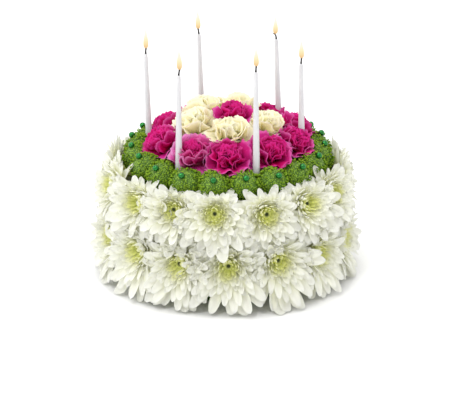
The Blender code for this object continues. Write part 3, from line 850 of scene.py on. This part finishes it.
fits = {
    # over and under: how much of the way past a neighbour's border is taken back, and how much rises or sinks
    "lowerMum": {"over": (0.0, 0.08), "under": (0.10, -0.35), "slot": "white_petal", "pieceName": "mumLower"},
    "upperMum": {"over": (0.0, 0.08), "under": (0.10, -0.35), "slot": "white_petal", "pieceName": "mumUpper"},
    "pink": {
        "over": (0.45, 0.12), "under": (0.85, 0.0), "slot": "pink_petal", "pieceName": "carnationPink",
    },
    "cream": {
        "over": (0.45, 0.12), "under": (0.85, 0.0), "slot": "cream_petal", "pieceName": "carnationCream",
    },
    "pom": {"over": (0.50, 0.0), "under": (0.50, 0.0), "slot": "green_floret", "pieceName": "pomArc"},
}
droop = {
    # lower row: petals that hang to the floor are longer and splay
    # upper row: petals that point up bend in over the poms and are shorter, least so at the sides
    "longer": 0.22, "splay": 0.0085, "shorter": 0.46, "tallSides": 0.6, "inward": 0.0075,
    "fullAt": 0.03,  # from this far out, a petal takes its whole share
    "floorFrom": 0.005, "floorFade": 0.010,
}


def growSpot(spot):
    mesh = growHead(headTree, spot["head"], spot["seed"])
    points = readPoints(mesh)
    draw = random.Random(spot["seed"])
    wobble = 0.07
    turn = Matrix.Rotation(draw.uniform(-wobble, wobble), 4, "X")
    turn = turn @ Matrix.Rotation(draw.uniform(-wobble, wobble), 4, "Y")
    turn = turn @ Matrix.Rotation(draw.uniform(0, 2 * math.pi), 4, "Z")
    points = points @ np.array(turn.to_3x3()).T
    radial = np.maximum(np.linalg.norm(points[:, :2], axis=1), 1e-6)
    outShare = radial / droop["fullAt"]
    if spot["kind"] == "lowerMum":
        down = np.clip(-points[:, 1] / radial, 0, 1) ** 1.5
        points[:, :2] *= (1 + droop["longer"] * down * np.clip(outShare, 0, 1))[:, None]
        points[:, 2] += droop["splay"] * down * outShare ** 1.5
    if spot["kind"] == "upperMum":
        up = np.clip(points[:, 1] / radial, 0, 1) ** 1.5
        sideways = abs(spot["place"].translation.x) / layout["upperMums"]["radius"]
        shorter = droop["shorter"] * (1 - droop["tallSides"] * sideways ** 12)
        points[:, :2] *= (1 - shorter * up * np.clip(outShare, 0, 1))[:, None]
        points[:, 2] -= droop["inward"] * (1 - sideways ** 4) * up * outShare ** 1.5
    place = np.array(spot["place"])
    points = points @ place[:3, :3].T + place[:3, 3]
    axis = spot["place"].to_3x3() @ Vector((0, 0, 1))
    points = clearCandles(easeApart(points, spot, axis), spot)
    if spot["kind"] == "lowerMum":
        # tips that would pass the floor lie on it
        low, floor = droop["floorFrom"], layout["floor"]
        sunk = points[:, 2] < low
        points[sunk, 2] = floor + (low - floor) * np.exp((points[sunk, 2] - low) / droop["floorFade"])
    writePoints(mesh, points)
    return mesh


pomParts = {}
counts = {}
for spot in spots:
    mesh = growSpot(spot)
    if spot["kind"] == "pom":
        pomParts.setdefault(spot["node"], []).append(mesh)
        continue
    fit = fits[spot["kind"]]
    counts[fit["pieceName"]] = counts.get(fit["pieceName"], 0) + 1
    name = f"{fit['pieceName']}{counts[fit['pieceName']]:02d}"
    showPiece(name, mesh, [], [spot["node"]])
print("mums and carnations grown")


def joinMeshes(name, meshes):
    whole = bmesh.new()
    for mesh in meshes:
        whole.from_mesh(mesh)
    joined = bpy.data.meshes.new(name)
    for material in meshes[0].materials:
        joined.materials.append(material)
    whole.to_mesh(joined)
    whole.free()
    return joined


for node, parts in pomParts.items():
    name = fits["pom"]["pieceName"] + node[-1]
    showPiece(name, joinMeshes(name, parts), [], [node])
print("poms grown")


pearlPin = {
    "radius": 0.0031, "distance": 0.0160, "rise": 0.0006, "rows": 12, "sides": 18,
    # degrees: the pearls look up, less at the front and more at the sides
    "lookUp": 57.0, "frontNod": 14.0, "sideTilt": 9.0, "wander": 5.0,
    "pinRadius": 0.0005, "pinLength": 0.006,
}


def pearlMaterial():
    # glass pearl under a green metallic lacquer: deep green with one sharp bright spot and a thin clear gloss
    made, tree, shader = newMaterial("glass pearl, green lacquer")
    place = addNode(tree, "ShaderNodeTexCoord").outputs["Object"]
    cloud = addNode(tree, "ShaderNodeTexNoise", {"Vector": place, "Scale": 900.0, "Detail": 2.0})
    ramp = addNode(tree, "ShaderNodeValToRGB", {0: cloud})
    fillRamp(ramp, [(0.3, "#106020"), (0.7, "#1E7E32")])
    fillInputs(tree, shader, {
        "Base Color": ramp,
        "Metallic": 0.85,
        "Roughness": 0.12,
        "Coat Weight": 0.4,
        "Coat Roughness": 0.05,
    })
    return made


def pearlPins():
    # a ball, and the short pin under it that goes into the pom
    radius, thin = pearlPin["radius"], pearlPin["pinRadius"]
    foot = -radius - pearlPin["pinLength"]
    profile = ballProfile(radius, pearlPin["rows"], pearlPin["rows"] - 2)
    profile += [(thin * 1.8, -radius * 0.97), (thin, -radius * 1.12), (thin, foot), (0.0, foot)]
    one = turnedMesh("pearl", profile, pearlPin["sides"])
    parts = []
    for spot in spots:
        if spot["kind"] != "pom":
            continue
        draw = random.Random(spot["seed"] + 1)
        nod = pearlPin["frontNod"] * max(0.0, math.cos(math.radians(spot["angle"])))
        sideTilt = pearlPin["sideTilt"] * abs(math.sin(math.radians(spot["angle"])))
        rise = math.radians(pearlPin["lookUp"] + sideTilt - nod + draw.uniform(-1, 1) * pearlPin["wander"])
        out = outward(spot["angle"] + draw.uniform(-1, 1) * pearlPin["wander"])
        away = out * math.cos(rise) + Vector((0, 0, math.sin(rise)))
        copy = one.copy()
        turn = away.to_track_quat("Z", "Y").to_matrix().to_4x4()
        centre = spot["middle"] + away * (pearlPin["distance"] + pearlPin["rise"])
        copy.transform(Matrix.Translation(centre) @ turn)
        parts.append(copy)
    return joinMeshes("pearlPins", parts)


showPiece("pearlPins", pearlPins(), [pearlMaterial()], sorted(pomParts))
print("pearl pins set")


candleLook = {
    "footRadius": 0.0035, "tipRadius": 0.0019, "shoulder": 0.0016, "sides": 20, "rows": 14,
    "wickRadius": 0.0008, "wickLength": 0.0068, "flameHeight": 0.0196, "flameRadius": 0.0024,
    # the flames end at this height at most
    "highest": 0.2385,
    # along a flame; the first two stops are its foot and its tip
    "flameColours": [
        (0.0, "#D9AE80"), (1.0, "#FDFDF8"),
        (0.10, "#F3CC96"), (0.24, "#FAE2AC"), (0.44, "#FCF3C8"), (0.66, "#FCFAE8"),
    ],
}


def waxMaterial():
    # paraffin taper, dipped: smooth, milky, light goes a few millimetres in
    made, tree, shader = newMaterial("paraffin wax, dipped white")
    place = addNode(tree, "ShaderNodeTexCoord").outputs["Object"]
    long = addNode(tree, "ShaderNodeMapping", {"Vector": place, "Scale": (1.0, 1.0, 0.15)})
    cloud = addNode(tree, "ShaderNodeTexNoise", {"Vector": long, "Scale": 300.0, "Detail": 3.0})
    ramp = addNode(tree, "ShaderNodeValToRGB", {0: cloud})
    fillRamp(ramp, [(0.3, "#DADADC"), (0.65, "#E4E4E5")])
    bump = addNode(tree, "ShaderNodeBump", {"Height": cloud, "Strength": 0.15, "Distance": 0.0003})
    fillInputs(tree, shader, {"Base Color": ramp, "Normal": bump, "Roughness": 0.32})
    through = addNode(tree, "ShaderNodeBsdfTranslucent", {"Color": ramp, "Normal": bump})
    both = addNode(tree, "ShaderNodeMixShader", {0: 0.3, 1: shader, 2: through})
    fillInputs(tree, tree.nodes["Material Output"], {"Surface": both})
    return made


def wickMaterial():
    # burnt cotton braid: matt, charred, a little ash grey
    made, tree, shader = newMaterial("cotton wick, charred")
    place = addNode(tree, "ShaderNodeTexCoord").outputs["Object"]
    grain = addNode(tree, "ShaderNodeTexNoise", {"Vector": place, "Scale": 2500.0, "Detail": 2.0})
    ramp = addNode(tree, "ShaderNodeValToRGB", {0: grain})
    fillRamp(ramp, [(0.0, "#0E0B0C"), (1.0, "#332C2E")])
    fillInputs(tree, shader, {"Base Color": ramp, "Roughness": 0.95})
    return made


def flameMaterial():
    # a candle flame: dull orange at the wick, then yellow, and nearly white where it fades at the tip
    made, tree, shader = newMaterial("candle flame")
    height = addNode(tree, "ShaderNodeAttribute", attribute_name="heart").outputs["Fac"]
    ramp = addNode(tree, "ShaderNodeValToRGB", {0: height})
    fillRamp(ramp, candleLook["flameColours"])
    fillInputs(tree, shader, {
        "Emission Color": ramp,
        "Base Color": linear("#1A120A"),
        "Emission Strength": 1.0,
        "Roughness": 1.0,
        "Specular IOR Level": 0.0,
    })
    return made


waxSkin, wickSkin, flameSkin = waxMaterial(), wickMaterial(), flameMaterial()


def candleMesh(number, candle):
    look = candleLook
    draw = random.Random(900 + number)
    waxTop = candle["waxTop"]
    shape = bmesh.new()
    top = waxTop - look["shoulder"]
    rows = []
    for i in range(look["rows"] + 1):
        t = i / look["rows"]
        radius = look["footRadius"] + (look["tipRadius"] - look["footRadius"]) * t ** 1.15
        rows.append((radius * (1 + draw.uniform(-0.012, 0.012)), candleFoot + (top - candleFoot) * t))
    for share in (0.35, 0.7, 1.0):
        # the round shoulder that has melted
        rows.append((
            look["tipRadius"] * math.cos(share * 1.15),
            top + look["shoulder"] * math.sin(share * math.pi / 2),
        ))
    rows.append((look["tipRadius"] * 0.18, waxTop - 0.0003))

    def ringAt(centre, radius, sides):
        return [shape.verts.new(centre + Vector((x, y, 0))) for x, y in circle(radius, sides)]

    def skin(rings, material):
        for low, high in zip(rings, rings[1:]):
            for s in range(len(low)):
                t = (s + 1) % len(low)
                face = shape.faces.new([low[s], low[t], high[t], high[s]])
                face.smooth, face.material_index = True, material
        for cap in (list(reversed(rings[0])), rings[-1]):
            shape.faces.new(cap).material_index = material

    skin([ringAt(candlePoint(candle, z), r, look["sides"]) for r, z in rows], 0)
    # the wick, thin and bent
    hooked = candle.get("hooked", False)
    bend = math.pi if hooked else draw.uniform(-0.6, 0.6) + math.radians(candle.get("wickTurn", 0.0))
    hook = 0.0030 if hooked else draw.uniform(0.0006, 0.0014)
    lean = Vector((math.cos(bend), math.sin(bend), 0))
    wick = []
    steps = 7
    for i in range(steps + 1):
        t = i / steps
        rise = (look["wickLength"] + 0.001) * (t - (0.12 if hooked else 0.0) * t ** 4)
        here = candlePoint(candle, waxTop - 0.001 + rise) + lean * (hook * t ** (4 if hooked else 2))
        thick = look["wickRadius"] * (1 + 0.15 * math.sin(9 * t)) * (0.75 if i == steps else 1.0)
        wick.append(ringAt(here, thick, 8))
    skin(wick, 1)
    flameFoot = candlePoint(candle, waxTop + look["wickLength"] * 0.72)
    return meshOf(shape, f"candle{number}"), flameFoot + lean * (hook * (0.2 if hooked else 0.55))


def flameMesh(number, base):
    # a tear drop that stands on the wick, its tip drawn up and a little aside
    look = candleLook
    draw = random.Random(950 + number)
    height = min(look["flameHeight"] * draw.uniform(0.92, 1.05), look["highest"] - base.z)
    sway = Vector((draw.uniform(-1, 1), draw.uniform(-1, 1), 0)) * 0.0007
    profile, tones = [], []
    steps = 16
    for i in range(steps + 1):
        t = 1 - i / steps
        radius = look["flameRadius"] * math.sin(math.pi * t ** 0.5) ** 0.9 if 0 < i < steps else 0.0
        profile.append((radius, height * t))
        tones.append(t)
    mesh = turnedMesh(f"flame{number}", profile, 16, tones)
    points = readPoints(mesh)
    t = points[:, 2] / height
    points += np.outer(t ** 2, np.array(sway))
    points += np.array(base)
    writePoints(mesh, points)
    return mesh


for number, candle in enumerate(candles, 1):
    mesh, flameBase = candleMesh(number, candle)
    showPiece(f"candle{number}", mesh, [waxSkin, wickSkin], [f"candle_{number}"])
    showPiece(f"flame{number}", flameMesh(number, flameBase), [flameSkin], [])
print("candles lit")


def foamMaterial():
    # floral foam: open, matt, dark green when soaked, crumbly to the eye
    made, tree, shader = newMaterial("floral foam, soaked")
    place = addNode(tree, "ShaderNodeTexCoord").outputs["Object"]
    cells = addNode(tree, "ShaderNodeTexVoronoi", {"Vector": place, "Scale": 600.0})
    ramp = addNode(tree, "ShaderNodeValToRGB", {0: cells})
    fillRamp(ramp, [(0.0, "#22380F"), (1.0, "#47681F")])
    bump = addNode(tree, "ShaderNodeBump", {"Height": cells, "Strength": 0.6, "Distance": 0.001})
    fillInputs(tree, shader, {
        "Base Color": ramp,
        "Normal": bump,
        "Roughness": 0.9,
        "Specular IOR Level": 0.1,
    })
    return made


# the body under the flowers keeps its solid and gets the foam's finish
foamSkin = foamMaterial()
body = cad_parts["flower_body"]
body.data.materials.clear()
body.data.materials.append(foamSkin)
print("body dressed")


studioLights = {
    # place, width in metres, power in watts
    "keyLight": ((-1.9, 0.0, 1.1), 1.4, 12.0),
    "fillLight": ((1.8, 0.1, 1.0), 1.4, 4.0),
    "topLight": ((-0.2, 0.1, 2.3), 1.4, 13.0),
    "sparkLight": ((-0.7, -1.4, 1.9), 0.3, 11.0),
}


def studio():
    # white paper under a white sky, light from the left and above, a small light for the sparkle
    floorMesh = bpy.data.meshes.new("floor")
    half = 8.0
    corners = [(-half, -half, 0), (half, -half, 0), (half, half, 0), (-half, half, 0)]
    floorMesh.from_pydata(corners, [], [(0, 1, 2, 3)])
    floor = addObject("floor", floorMesh)
    paper, tree, shader = newMaterial("studio paper, white")
    fillInputs(tree, shader, {"Base Color": linear("#F7F7F7"), "Roughness": 0.9})
    floorMesh.materials.append(paper)

    world = bpy.data.worlds.new("studio")
    bpy.context.scene.world = world
    world.use_nodes = True
    sky = world.node_tree.nodes["Background"]
    sky.inputs["Color"].default_value = linear("#FFFFFF")
    sky.inputs["Strength"].default_value = 1.1
    for name, (place, size, power) in studioLights.items():
        light = addObject(name, bpy.data.lights.new(name, "AREA"))
        light.data.size = size
        light.data.energy = power
        light.location = place
        light.rotation_euler = (Vector((0, 0, 0.08)) - Vector(place)).to_track_quat("-Z", "Y").to_euler()


studio()
# light goes from petal to petal many times before it comes out
bpy.context.scene.cycles.diffuse_bounces = 20
bpy.context.scene.view_settings.view_transform = "Standard"
bpy.context.scene.view_settings.look = "None"
print("studio set")
